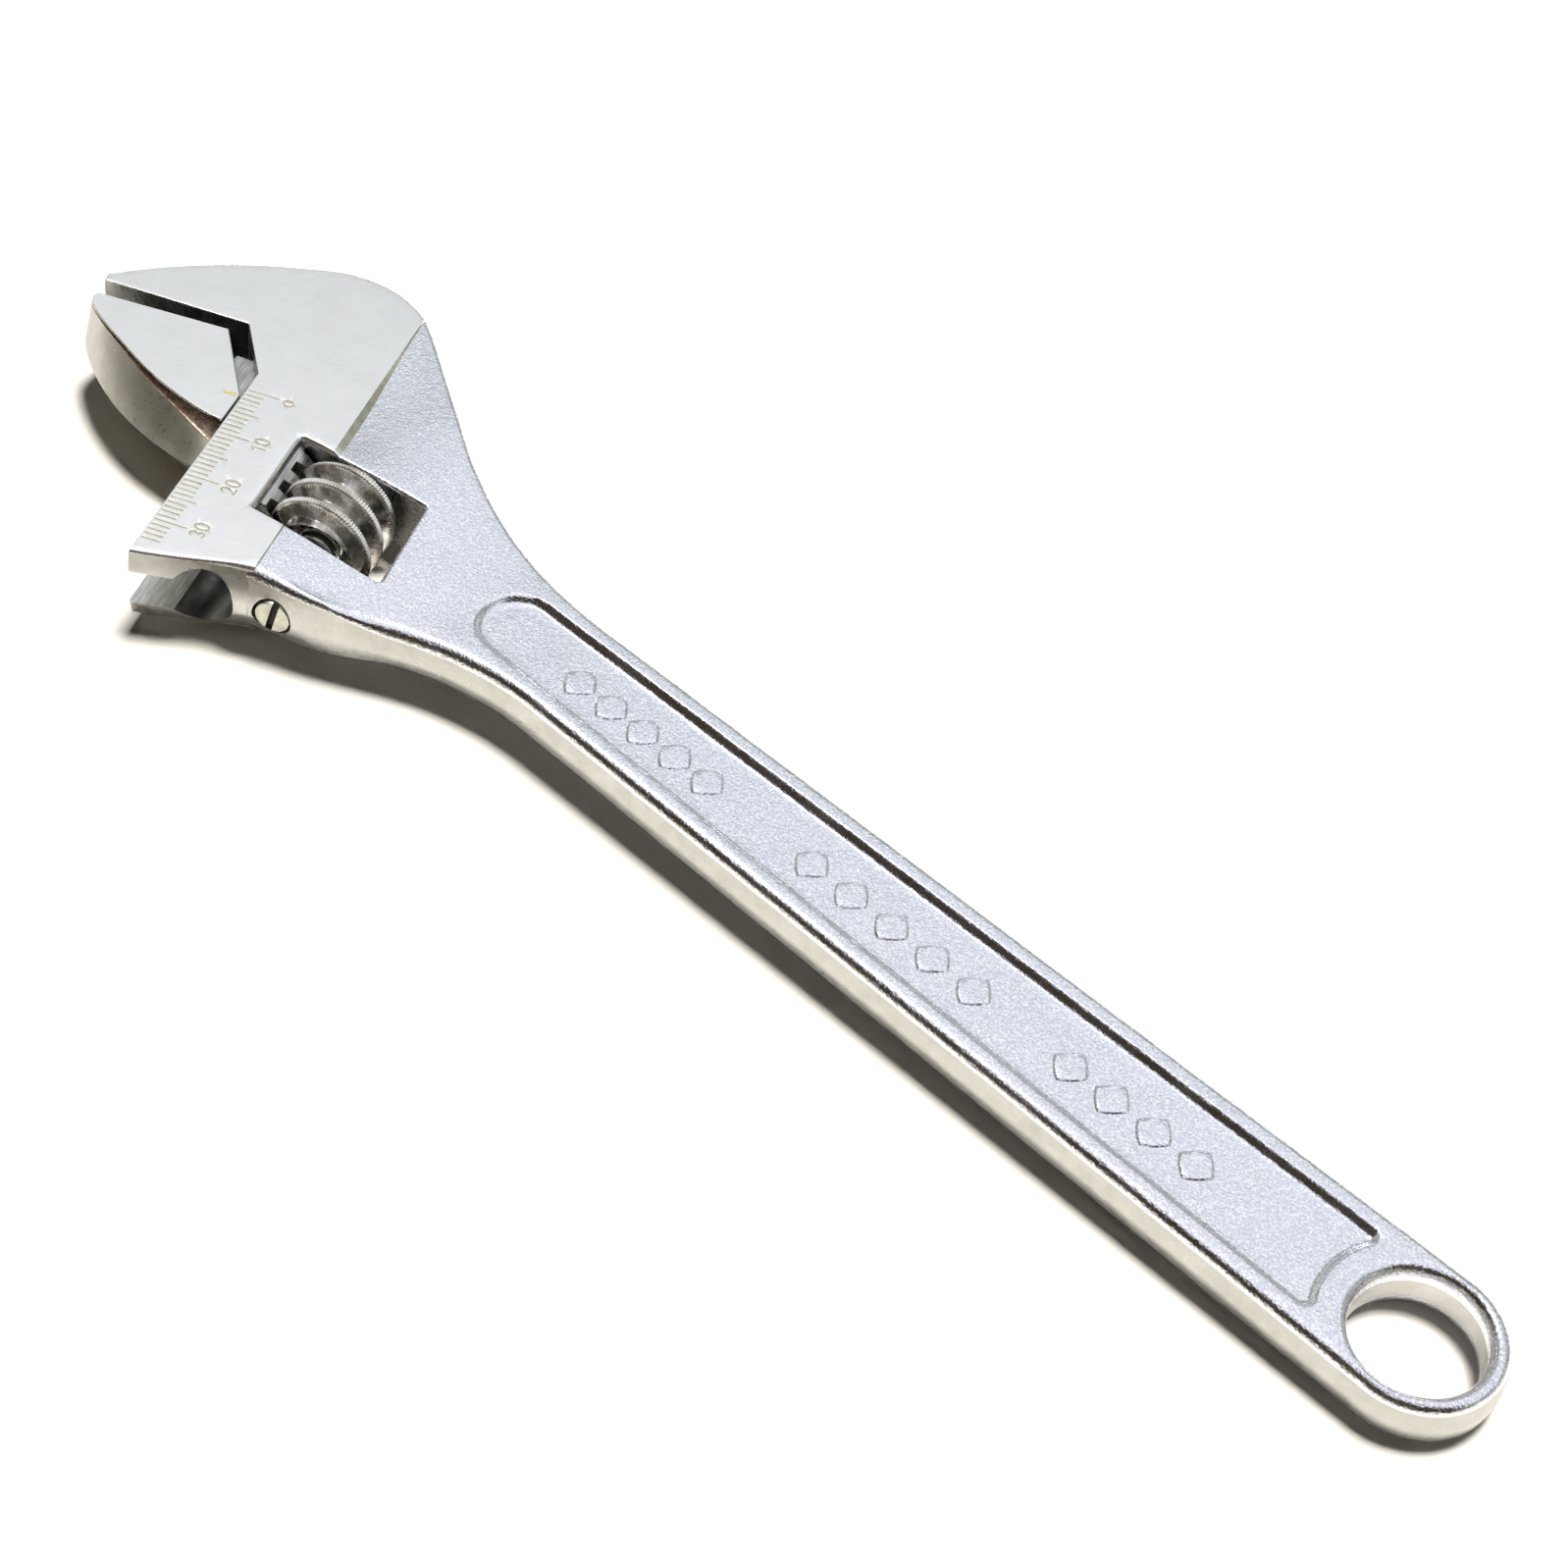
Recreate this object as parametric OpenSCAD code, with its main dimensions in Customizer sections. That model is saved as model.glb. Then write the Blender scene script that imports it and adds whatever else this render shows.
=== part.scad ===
// Adjustable wrench, 250 mm class: forged body with a fixed jaw, sliding lower
// jaw with a round toothed rail, knurled worm, slotted worm pin and its spring.
// Origin: centre of the hanging hole, on the wrench's mid-plane.
// +X along the handle towards the head, +Z through the thickness. Millimetres.

/* [Handle] */
// Half width of the handle at the hanging hole
handle_half = 11.3; // [10.6:0.1:12]
// Taper of each handle edge, as a slope
handle_taper = 0.0144; // [0.008:0.0004:0.018]
// Half thickness of the handle
handle_half_t = 3.8; // [3.4:0.1:4.4]
// Radius of the hanging hole's wall
hole_r = 8.4; // [7.5:0.1:8.8]
// Depth of the recessed panel on each face
panel_depth = 0.8; // [0.4:0.1:1.2]
// Where the recessed panel ends, towards the head
panel_end = 159; // [150:1:160]

/* [Head] */
// Angle of the jaw faces to the handle
head_angle = 25; // [24:0.5:26]
// Half thickness of the machined head
head_half_t = 6; // [5.8:0.1:6.6]
// How much lower the forged face is at the machined step
forged_drop = 0.3; // [0.1:0.1:0.6]
// Distance from the jaw-side edge back to the machined step
step_u = 16.7; // [16:0.1:17.4]
// Level of the fixed jaw's face below the scale's zero mark
fixed_face_v = 13.6; // [13.2:0.1:14]

/* [Moving jaw] */
// Opening between the jaws at the heel, as stored
rest_gap = 2.3; // [1.5:0.1:3.5]
// Lean of the moving jaw's face that its play leaves
jaw_lean = 2; // [0:0.5:3]
// Radius of the jaw's round rail
rail_r = 4.65; // [4.4:0.05:4.65]
// Radial clearance of the rail in its bore
rail_clearance = 0.05; // [0.03:0.01:0.1]
// Thickness of the web between rail and jaw
web_t = 5.4; // [4.6:0.1:5.4]

/* [Worm] */
// Distance from the jaw-side edge back to the worm's axis
worm_u = 20.3; // [20.2:0.1:20.8]
// Outer radius of the worm
worm_r = 8; // [7.8:0.1:8.1]
// Radius at the bottom of the worm's thread
worm_root_r = 5.6; // [5.2:0.1:5.7]
// Axial pitch of the worm and of the rack
pitch = 4.3; // [4.3:0.1:4.3]
// Width of the thread at its crest
crest_w = 1.5; // [1.2:0.1:1.6]
// Width of the thread at its root
thread_root_w = 2.5; // [2.2:0.1:2.6]
// Clearance between thread and rack, each side
mesh_clearance = 0.25; // [0.15:0.05:0.3]

/* [Pin and spring] */
// Radius of the worm pin
pin_r = 2.4; // [2.2:0.1:2.5]
// Radius of the pin's slotted head
pin_head_r = 2.8; // [2.7:0.1:3.2]
// Radial clearance of the worm on its pin
pin_clearance = 0.05; // [0.03:0.01:0.1]
// Wire diameter of the worm spring
wire_d = 0.7; // [0.5:0.1:0.8]

/* [Hidden] */
$fn = 96;

// The head has its own frame: u runs along the jaw faces towards their tips,
// v runs the way the moving jaw opens, from the scale's zero mark.
head_origin = [211.6, -1.6];

// Body features, in the head's frame
throat_u = 5.9;
throat_top_v = -4;
fixed_tip_u = 29.3;
near_wall_v = 38.8;
bore_u = 10;
bore_end_v = -16.5;
slot_end_v = -12.4;
slot_t = web_t + 0.3;

// The window is a parallelogram: long sides along v, ends on a slant
window_u = [-32.4, -11.3];
window_v = [5.85, 22.25];
window_slant = -0.24;

// Worm along v: whole length, and the stretch at full radius
worm_v = [9.95, 23.1];
worm_full_v = [10.6, 20.5];
worm_end_r = 5;
crest_v = 19.4;
counterbore_r = 4.2;
counterbore_v = 18.4;

// Pin along v, from its blind end to its head's face
pin_v = [2, 35.1];
pin_head_h = 3.5;
pin_slot_w = 1.1;
pin_slot_d = 1.1;
pin_slot_turn = -14;

// Rail along v, and the rack cut in it
rail_v = [-13, 20];
web_v = [-9.2, 8];
rack_phase_v = crest_v - pitch / 4;
rack_teeth = 8;
lead_angle = atan(pitch / (PI * (worm_r + worm_root_r)));

// A corner (x, y, r) becomes an arc of radius r between its neighbours
function unit(a) = a / norm(a);
function corner(a, b, c) =
    let (p = [b[0], b[1]],
         da = unit([a[0], a[1]] - p),
         dc = unit([c[0], c[1]] - p),
         half = acos(da * dc) / 2,
         mid = p + unit(da + dc) * b[2] / sin(half),
         start = p + da * b[2] / tan(half),
         end = p + dc * b[2] / tan(half),
         from = atan2(start[1] - mid[1], start[0] - mid[0]),
         turn = atan2(end[1] - mid[1], end[0] - mid[0]) - from,
         sweep = turn > 180 ? turn - 360 : turn < -180 ? turn + 360 : turn,
         steps = max(2, ceil(abs(sweep) / 6)))
    b[2] == 0 ? [p]
    : [for (i = [0:steps]) mid + b[2] * [cos(from + sweep * i / steps), sin(from + sweep * i / steps)]];
function rounded(pts) =
    let (n = len(pts))
    [for (i = [0:n - 1]) each corner(pts[(i + n - 1) % n], pts[i], pts[(i + 1) % n])];

// A point of the head's frame, in the wrench's frame
function from_head(u, v) =
    head_origin + [u * cos(head_angle) - v * sin(head_angle), u * sin(head_angle) + v * cos(head_angle)];
function head_corner(u, v, r) = [each from_head(u, v), r];

module head_frame() {
    translate([head_origin[0], head_origin[1], 0]) rotate(head_angle) children();
}

// A cylinder along v, from v0 to v1, on the axis at depth u behind the edge
module along_v(u, v0, v1, r) {
    translate([-u, v0, 0]) rotate([-90, 0, 0]) cylinder(r = r, h = v1 - v0);
}

// ---- Body ----

end_r = handle_half - 0.2;
body_outline = rounded([
    [-end_r - 0.3, -handle_half, end_r],
    [166.5, -handle_half + 166.5 * handle_taper, 75],
    [215.4, -37.9, 17.8],
    [237.9, -16.5, 70],
    [244.6, -3, 0.8],
    head_corner(fixed_tip_u, -fixed_face_v, 0.4),
    head_corner(throat_u, -fixed_face_v, 0.3),
    head_corner(0, throat_top_v, 0),
    head_corner(0, near_wall_v, 0.8),
    [181.8, 23.9, 6],
    [173.2, 20.2, 60],
    [152, handle_half - 152 * handle_taper, 46],
    [-end_r - 0.3, handle_half, end_r]
]);

// Side profile: thin handle, sloping up to the forged face of the head
slope_x = [160, 188];
body_profile = [
    [-20, handle_half_t], [slope_x[0], handle_half_t],
    [slope_x[1], head_half_t - forged_drop], [260, head_half_t - forged_drop],
    [260, -head_half_t + forged_drop], [slope_x[1], -head_half_t + forged_drop],
    [slope_x[0], -handle_half_t], [-20, -handle_half_t]
];

boss_r = 12.2;
panel_outline = rounded([
    [10, 8.2, 0], [panel_end, 6.2, 6], [panel_end, -6.2, 6], [10, -8.2, 0]
]);

module recessed_panels() {
    for (side = [0, 180])
        rotate([side, 0, 0])
            translate([0, 0, handle_half_t - panel_depth])
                linear_extrude(5)
                    difference() {
                        polygon(panel_outline);
                        circle(boss_r);
                    }
}

// The body's thickness everywhere: the forged profile, and the machined head
module body_thickness() {
    rotate([90, 0, 0]) linear_extrude(120, center = true) polygon(body_profile);
    head_frame() translate([-step_u, -60, -head_half_t]) cube([60, 120, 2 * head_half_t]);
}

module window_cut() {
    ends = [for (u = window_u) window_slant * (u - window_u[1])];
    linear_extrude(40, center = true)
        polygon([
            [window_u[0], window_v[0] + ends[0]], [window_u[1], window_v[0] + ends[1]],
            [window_u[1], window_v[1] + ends[1]], [window_u[0], window_v[1] + ends[0]]
        ]);
}

module body() color([0.74, 0.75, 0.80]) difference() {
    intersection() {
        linear_extrude(4 * head_half_t, center = true) polygon(body_outline);
        body_thickness();
    }
    cylinder(r = hole_r, h = 20, center = true);
    recessed_panels();
    head_frame() {
        window_cut();
        along_v(bore_u, bore_end_v, 50, rail_r + rail_clearance);
        translate([-bore_u, slot_end_v, -slot_t / 2]) cube([30, 70, slot_t]);
        along_v(worm_u, pin_v[0], 40, pin_r + 0.02);
        along_v(worm_u, pin_v[1] - pin_head_h, 40, pin_head_r + 0.05);
    }
}

// ---- Moving jaw ----

heel = [8, -fixed_face_v + rest_gap];
jaw_tip_v = heel[1] + (fixed_tip_u - heel[0]) * tan(jaw_lean);
jaw_edge_u = 0.3;
jaw_back_v = 7.6;

// The flat faces' outline, and the wider outline of the forged flank
face_outline = rounded([
    [heel[0], heel[1], 0.4], [fixed_tip_u - 0.3, jaw_tip_v, 0.5], [28.8, -8, 1],
    [15, 3.6, 45], [jaw_edge_u, jaw_back_v, 0], [jaw_edge_u, 1.4, 0]
]);
flank_outline = rounded([
    [heel[0] + 0.6, heel[1] + 0.1, 0.4], [fixed_tip_u - 0.2, jaw_tip_v, 0.8], [29.3, -6.6, 2.5],
    [15.4, 8.6, 24], [4, 12.2, 6], [jaw_edge_u, 12, 0], [jaw_edge_u, 1.4, 0]
]);
flank_half_t = 3;

module rack_groove() {
    tip_half = crest_w / 2 + mesh_clearance;
    slope = (thread_root_w - crest_w) / 2 / (worm_r - worm_root_r);
    depth = worm_u - worm_r - mesh_clearance - 0.05;
    out = 3;
    rotate([-lead_angle, 0, 0])
        linear_extrude(16, center = true)
            polygon([
                [-depth, tip_half], [-depth, -tip_half],
                [-depth - out, -tip_half - out * slope], [-depth - out, tip_half + out * slope]
            ]);
}

module movable_jaw() color([0.78, 0.78, 0.80]) head_frame() {
    difference() {
        along_v(bore_u, rail_v[0], rail_v[1], rail_r);
        for (i = [0:rack_teeth - 1])
            translate([0, rack_phase_v - i * pitch, 0]) rack_groove();
    }
    translate([-bore_u, web_v[0], -web_t / 2])
        cube([bore_u + jaw_edge_u + 1, web_v[1] - web_v[0], web_t]);
    linear_extrude(web_t, center = true)
        polygon([[-2, web_v[0]], [heel[0] - 2, heel[1] + 1.5], [heel[0], 0], [-2, 4]]);
    linear_extrude(2 * head_half_t, center = true) polygon(face_outline);
    linear_extrude(2 * flank_half_t, center = true) polygon(flank_outline);
}

// ---- Worm ----

thread_steps = 30;
thread_turns = 5;

// A left-handed helical ridge about +Z, its middle at z = 0 when angle = 0
module helical_ridge(r_in, r_out, w_in, w_out) {
    count = thread_steps * thread_turns;
    section = [[r_in, -w_in / 2], [r_out, -w_out / 2], [r_out, w_out / 2], [r_in, w_in / 2]];
    pts = [for (i = [0:count]) let (a = -360 * i / thread_steps, z = pitch * i / thread_steps)
        for (p = section) [p[0] * cos(a), p[0] * sin(a), z + p[1]]];
    sides = [for (i = [0:count - 1]) for (k = [0:3])
        let (a = 4 * i + k, b = 4 * i + (k + 1) % 4)
        each [[a, a + 4, b], [b, a + 4, b + 4]]];
    last = 4 * count;
    polyhedron(pts, concat(sides, [[0, 1, 2, 3], [last + 3, last + 2, last + 1, last]]));
}

// The worm's envelope about +Z, from z = 0: a full drum with coned ends
module worm_envelope() {
    full = [for (v = worm_full_v) v - worm_v[0]];
    length = worm_v[1] - worm_v[0];
    rotate_extrude()
        polygon([[0, 0], [worm_end_r + 0.6, 0], [worm_r, full[0]], [worm_r, full[1]],
            [worm_end_r, length], [0, length]]);
}

module worm() color([0.62, 0.60, 0.60]) head_frame()
    translate([-worm_u, worm_v[0], 0]) rotate([-90, 0, 0]) difference() {
        length = worm_v[1] - worm_v[0];
        intersection() {
            worm_envelope();
            union() {
                cylinder(r = worm_root_r, h = length);
                // the crest faces the rail where the rack's grooves are
                translate([0, 0, rack_phase_v - worm_v[0] - 4 * pitch])
                    helical_ridge(worm_root_r - 0.4, worm_r + 0.4, thread_root_w, crest_w);
            }
        }
        translate([0, 0, -1]) cylinder(r = pin_r + pin_clearance, h = length + 2);
        translate([0, 0, counterbore_v - worm_v[0]]) cylinder(r = counterbore_r, h = length);
    }

// ---- Pin and spring ----

module worm_pin() color([0.66, 0.66, 0.62]) head_frame() difference() {
    union() {
        along_v(worm_u, pin_v[0] + 0.1, pin_v[1] - pin_head_h, pin_r);
        along_v(worm_u, pin_v[1] - pin_head_h, pin_v[1], pin_head_r);
    }
    translate([-worm_u, pin_v[1] - pin_slot_d, 0]) rotate([0, pin_slot_turn, 0])
        translate([-pin_slot_w / 2, 0, -5]) cube([pin_slot_w, 5, 10]);
}

spring_turns = 4;
spring_steps = 14;
spring_sides = 6;
spring_r = pin_r + wire_d / 2 + 0.2;
spring_v = [counterbore_v + 0.05, 23.6];

module worm_spring() color([0.8, 0.8, 0.82]) head_frame() {
    wire_r = wire_d / 2;
    rise = spring_v[1] - spring_v[0] - wire_d;
    count = spring_turns * spring_steps;
    pts = [for (i = [0:count]) let (a = 360 * i / spring_steps, v = spring_v[0] + wire_r + rise * i / count)
        for (k = [0:spring_sides - 1]) let (b = 360 * k / spring_sides, r = spring_r + wire_r * cos(b))
            [-worm_u + r * cos(a), v - wire_r * sin(b), r * sin(a)]];
    sides = [for (i = [0:count - 1]) for (k = [0:spring_sides - 1])
        let (a = spring_sides * i + k, b = spring_sides * i + (k + 1) % spring_sides)
        each [[a, b, a + spring_sides], [b, b + spring_sides, a + spring_sides]]];
    last = spring_sides * count;
    polyhedron(pts, concat(sides, [
        [for (k = [spring_sides - 1:-1:0]) k],
        [for (k = [0:spring_sides - 1]) last + k]
    ]));
}

body();
movable_jaw();
worm();
worm_pin();
worm_spring();
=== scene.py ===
import math

import bmesh
import bpy
import numpy as np
from mathutils import Matrix, Vector, noise
from mathutils.geometry import delaunay_2d_cdt


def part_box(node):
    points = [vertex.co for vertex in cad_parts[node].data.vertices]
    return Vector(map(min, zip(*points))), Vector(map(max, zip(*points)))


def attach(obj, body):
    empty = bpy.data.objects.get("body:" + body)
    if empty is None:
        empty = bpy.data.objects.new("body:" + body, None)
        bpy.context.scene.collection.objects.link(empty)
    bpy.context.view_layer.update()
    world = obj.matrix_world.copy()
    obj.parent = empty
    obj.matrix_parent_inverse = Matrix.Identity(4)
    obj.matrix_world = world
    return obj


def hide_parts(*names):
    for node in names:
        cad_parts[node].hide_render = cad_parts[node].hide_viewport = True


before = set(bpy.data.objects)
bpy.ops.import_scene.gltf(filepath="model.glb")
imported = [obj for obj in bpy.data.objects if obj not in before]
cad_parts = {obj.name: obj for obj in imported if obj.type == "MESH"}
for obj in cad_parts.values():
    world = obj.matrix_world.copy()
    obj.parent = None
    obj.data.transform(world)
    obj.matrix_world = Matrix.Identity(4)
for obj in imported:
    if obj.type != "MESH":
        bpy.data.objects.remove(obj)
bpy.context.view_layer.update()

# Every size below is in millimetres, in the frame of the CAD part.
MM = 0.001

# ---- The head's own frame: u towards the jaw tips, v the way the jaw opens ----
HEAD_TURN = math.radians(25)
HEAD_ORIGIN = np.array([211.6, -1.6])
U_DIR = np.array([math.cos(HEAD_TURN), math.sin(HEAD_TURN)])
V_DIR = np.array([-math.sin(HEAD_TURN), math.cos(HEAD_TURN)])

# ---- Body ----
HANDLE_HALF = 11.3
HANDLE_TAPER = 0.0144
HANDLE_TOP = 3.8
HEAD_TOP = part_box("body")[1].z / MM
FORGED_TOP = 5.7
HOLE_R = 8.4
STEP_U = -16.7
NEAR_WALL_V = 38.8
FIXED_FACE_V = -13.6
TIP_U = 29.3
THROAT_U = 5.9
THROAT_TOP_V = -4.0
WINDOW_U = (-32.4, -11.3)
WINDOW_V = (5.85, 22.25)
WINDOW_SLANT = -0.24
BORE_U = -10.0
BORE_R = 4.7
SLOT_HALF = 2.85

# ---- Worm, rack and pin ----
WORM_U = -20.3
WORM_R = 8.0
WORM_ROOT = 5.6
PITCH = 4.3
CREST_V = 19.4
PIN_R = 2.4
PIN_TURN = math.radians(-14)


UPSIDE_DOWN = np.array([1, 1, -1])


def head(u, v):
    """A plan point from the head's own frame."""
    return HEAD_ORIGIN + u * U_DIR + v * V_DIR


def to_head(p):
    """A plan point's place in the head's own frame."""
    d = np.asarray(p, float) - HEAD_ORIGIN
    return d @ U_DIR, d @ V_DIR


def unit(v):
    return v / np.linalg.norm(v)


def smooth(t):
    """An even ease from 0 to 1."""
    t = np.clip(t, 0, 1)
    return t * t * (3 - 2 * t)


# ---- Outlines: corners (x, y, fillet radius), counter-clockwise ----

def moved_corners(corners, insets):
    """The corners after each side has moved inwards by its inset."""
    n = len(corners)
    at = [np.array(c[:2], float) for c in corners]
    along = [unit(at[(i + 1) % n] - at[i]) for i in range(n)]
    inward = [np.array([-d[1], d[0]]) for d in along]
    out = []
    for i in range(n):
        a, b = (i - 1) % n, i
        lines = np.array([inward[a], inward[b]])
        reach = [at[i] @ inward[a] + insets[a], at[i] @ inward[b] + insets[b]]
        p = np.linalg.solve(lines, reach)
        turn = along[a][0] * along[b][1] - along[a][1] * along[b][0]
        r = corners[i][2]
        if r > 0:
            mean = (insets[a] + insets[b]) / 2
            r = max(r - mean if turn > 0 else r + mean, 0.04)
        out.append((p[0], p[1], r))
    return out


def corner_arc(a, b, c):
    """Centre, radius, start angle and sweep of the fillet at corner b."""
    p = np.array(b[:2])
    da, dc = unit(np.array(a[:2]) - p), unit(np.array(c[:2]) - p)
    half = math.acos(np.clip(da @ dc, -1, 1)) / 2
    mid = p + unit(da + dc) * b[2] / math.sin(half)
    start, end = p + da * b[2] / math.tan(half), p + dc * b[2] / math.tan(half)
    a0 = math.atan2(*(start - mid)[::-1])
    sweep = (math.atan2(*(end - mid)[::-1]) - a0 + math.pi) % (2 * math.pi) - math.pi
    return mid, b[2], a0, sweep, start, end


class Outline:
    """A closed outline whose sides can be moved, always with the same count of points."""

    def __init__(self, corners, step=1.5, arc_step=math.radians(6)):
        self.corners = corners
        self.n = n = len(corners)
        self.arcs, ends = [], []
        for i in range(n):
            if corners[i][2] == 0:
                self.arcs.append(0)
                ends.append((np.array(corners[i][:2]),) * 2)
                continue
            arc = corner_arc(corners[i - 1], corners[i], corners[(i + 1) % n])
            by_length = abs(arc[3]) * arc[1] / step
            self.arcs.append(max(3, math.ceil(abs(arc[3]) / arc_step), math.ceil(by_length)))
            ends.append((arc[4], arc[5]))
        self.sides = []
        for i in range(n):
            length = np.linalg.norm(ends[(i + 1) % n][0] - ends[i][1])
            self.sides.append(max(1, math.ceil(length / step)))
        self.mix = []
        for i in range(n):
            k = self.arcs[i]
            if k == 0:
                self.mix.append(((i - 1) % n, i, 0.5))
            else:
                self.mix += [((i - 1) % n, i, j / k) for j in range(k + 1)]
            self.mix += [(i, i, 0.0)] * (self.sides[i] - 1)

    def at(self, insets):
        """The points after each side has moved inwards by its inset."""
        n = self.n
        cs = moved_corners(self.corners, insets)
        runs = []
        for i in range(n):
            if self.arcs[i] == 0:
                runs.append([np.array(cs[i][:2])])
                continue
            mid, r, a0, sweep, _, _ = corner_arc(cs[i - 1], cs[i], cs[(i + 1) % n])
            angles = a0 + sweep * np.arange(self.arcs[i] + 1) / self.arcs[i]
            runs.append([mid + r * np.array([math.cos(a), math.sin(a)]) for a in angles])
        pts = []
        for i in range(n):
            pts += runs[i]
            a, b = runs[i][-1], runs[(i + 1) % n][0]
            m = self.sides[i]
            pts += [a + (b - a) * j / m for j in range(1, m)]
        return np.array(pts)

    def spread(self, values):
        """A value for each point, from one for each side."""
        return np.array([values[a] * (1 - t) + values[b] * t for a, b, t in self.mix])


END_R = HANDLE_HALF - 0.2
BODY_OUTLINE = Outline([
    (-END_R - 0.3, -HANDLE_HALF, END_R),
    (166.5, -HANDLE_HALF + 166.5 * HANDLE_TAPER, 75),
    (215.4, -37.9, 17.8),
    (237.9, -16.5, 70),
    (244.6, -3.0, 0.8),
    (*head(TIP_U, FIXED_FACE_V), 0.4),
    (*head(THROAT_U, FIXED_FACE_V), 0.3),
    (*head(0, THROAT_TOP_V), 0),
    (*head(0, NEAR_WALL_V), 0.8),
    (181.8, 23.9, 6),
    (173.2, 20.2, 60),
    (152, HANDLE_HALF - 152 * HANDLE_TAPER, 46),
    (-END_R - 0.3, HANDLE_HALF, END_R),
])
# For each side, in the outline's order: how far the wall leans in, and its rim's radius
WALL_LEAN = [0.25, 0.12, 0.05, 0.05, 0.05, 0.0, 0.0, 0.0, 1.60, 1.00, 0.60, 0.40, 0.40]
RIM_R = [1.35, 0.90, 0.40, 0.35, 0.30, 0.18, 0.18, 0.20, 0.75, 1.60, 2.00, 1.60, 1.15]

# Which sides are milled: the jaw's face, the throat and the scale's edge
SHEER = [0, 0, 0, 0, 0, 1, 1, 1, 0, 0, 0, 0, 0]


def window_corners():
    """The window's four corners, with a fillet each."""
    pts = []
    for i, j, r in ((0, 0, 0.6), (1, 0, 0.5), (1, 1, 0.5), (0, 1, 0.6)):
        slant = WINDOW_SLANT * (WINDOW_U[i] - WINDOW_U[1])
        pts.append((*head(WINDOW_U[i], WINDOW_V[j] + slant), r))
    return pts


WINDOW_OUTLINE = Outline(window_corners(), step=0.9, arc_step=math.radians(18))
# Sides in order: far end, jaw side, near end, back
WINDOW_RIM = [0.65, 0.85, 0.22, 0.75]


# ---- The top face's height ----

# Where the forging rises from handle to neck, how far it sinks by the window and swells by the worm
NECK_START, NECK_LENGTH = 157, 34
WINDOW_HOLLOW = 0.42
NEAR_SWELL = 0.26


def ripple(p, scale, seed):
    """Smooth noise from -1 to 1 at a plan point."""
    return noise.noise(Vector((p[0] / scale, p[1] / scale, seed)))


def step_width(v):
    """The machined step is widest beside the window, on the far side of the head."""
    return 0.12 + 0.85 * smooth((22 - v) / 14) * smooth((v + 24) / 26)


def forged_height(p):
    """Height of the forged upper face at p, as if it ran on under the machined head."""
    u, v = to_head(p)
    forged = HANDLE_TOP + (FORGED_TOP - HANDLE_TOP) * smooth((p[0] - NECK_START) / NECK_LENGTH)
    forged -= WINDOW_HOLLOW * smooth((14 - v) / 14) * smooth((v + 26) / 22) * smooth((u + 34) / 17)
    forged += NEAR_SWELL * smooth((v - 20) / 5) * smooth((u + 30) / 13)
    return forged + 0.05 * ripple(p, 7.5, 1.3) + 0.025 * ripple(p, 2.6, 4.1)


def wall_height(p):
    """A height without the step, for the side walls."""
    forged = forged_height(p)
    return forged + (HEAD_TOP - forged) * smooth((to_head(p)[0] - STEP_U) / 8)


def top_height(p):
    """Height of the upper face at p: forged handle and neck, then the machined head."""
    u, v = to_head(p)
    forged = forged_height(p)
    past = (u - STEP_U) / step_width(v)
    if past >= 0:
        return HEAD_TOP
    if past <= -1:
        return forged
    return HEAD_TOP + past * (HEAD_TOP - forged)


def step_gap(p):
    """How far p lies past the step's top line, on the machined side."""
    return to_head(p)[0] - STEP_U


def step_foot_gap(p):
    """How far p lies past the step's bottom line."""
    u, v = to_head(p)
    return u - STEP_U + step_width(v)


def snap_columns(rings, gap, foot_gap):
    """Moves two columns of points onto the machined step's two lines, wherever the outline crosses them."""
    last = rings[-1]
    n = len(last)
    g = np.array([gap(p) for p in last])
    found = []
    for i in range(n):
        j = (i + 1) % n
        if g[i] * g[j] < 0:
            pick = i if abs(g[i]) < abs(g[j]) else j
            foot = pick - 1 if g[(pick - 1) % n] < g[(pick + 1) % n] else pick + 1
            foot %= n
            for k, f in ((pick, gap), (foot, foot_gap)):
                for ring in rings:
                    for _ in range(4):
                        t = unit(ring[(k + 1) % n] - ring[k - 1])
                        slope = (f(ring[k] + t * 1e-3) - f(ring[k])) / 1e-3
                        ring[k] = ring[k] - t * f(ring[k]) / slope
            found.append((pick, foot))
    return found


# ---- Meshes ----

def new_piece(name, verts, faces, face_mats=None, smooth_below=32):
    """A mesh object from vertices in millimetres."""
    mesh = bpy.data.meshes.new(name)
    points = [tuple(float(x) * MM for x in v) for v in verts]
    mesh.from_pydata(points, [], [tuple(int(i) for i in f) for f in faces])
    if face_mats is not None:
        mesh.polygons.foreach_set("material_index", np.array(face_mats, np.int32))
    obj = bpy.data.objects.new(name, mesh)
    bpy.context.scene.collection.objects.link(obj)
    tidy_mesh(obj, smooth_below)
    return obj


def tidy_mesh(obj, smooth_below=32):
    """Merges doubled points, turns the faces outwards, and shades smooth up to an angle."""
    bm = bmesh.new()
    bm.from_mesh(obj.data)
    bmesh.ops.remove_doubles(bm, verts=bm.verts, dist=1.5e-6)
    bmesh.ops.dissolve_degenerate(bm, edges=bm.edges, dist=1e-7)
    bmesh.ops.recalc_face_normals(bm, faces=bm.faces)
    for f in bm.faces:
        f.smooth = True
    bm.to_mesh(obj.data)
    bm.free()
    obj.data.set_sharp_from_angle(angle=math.radians(smooth_below))


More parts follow.
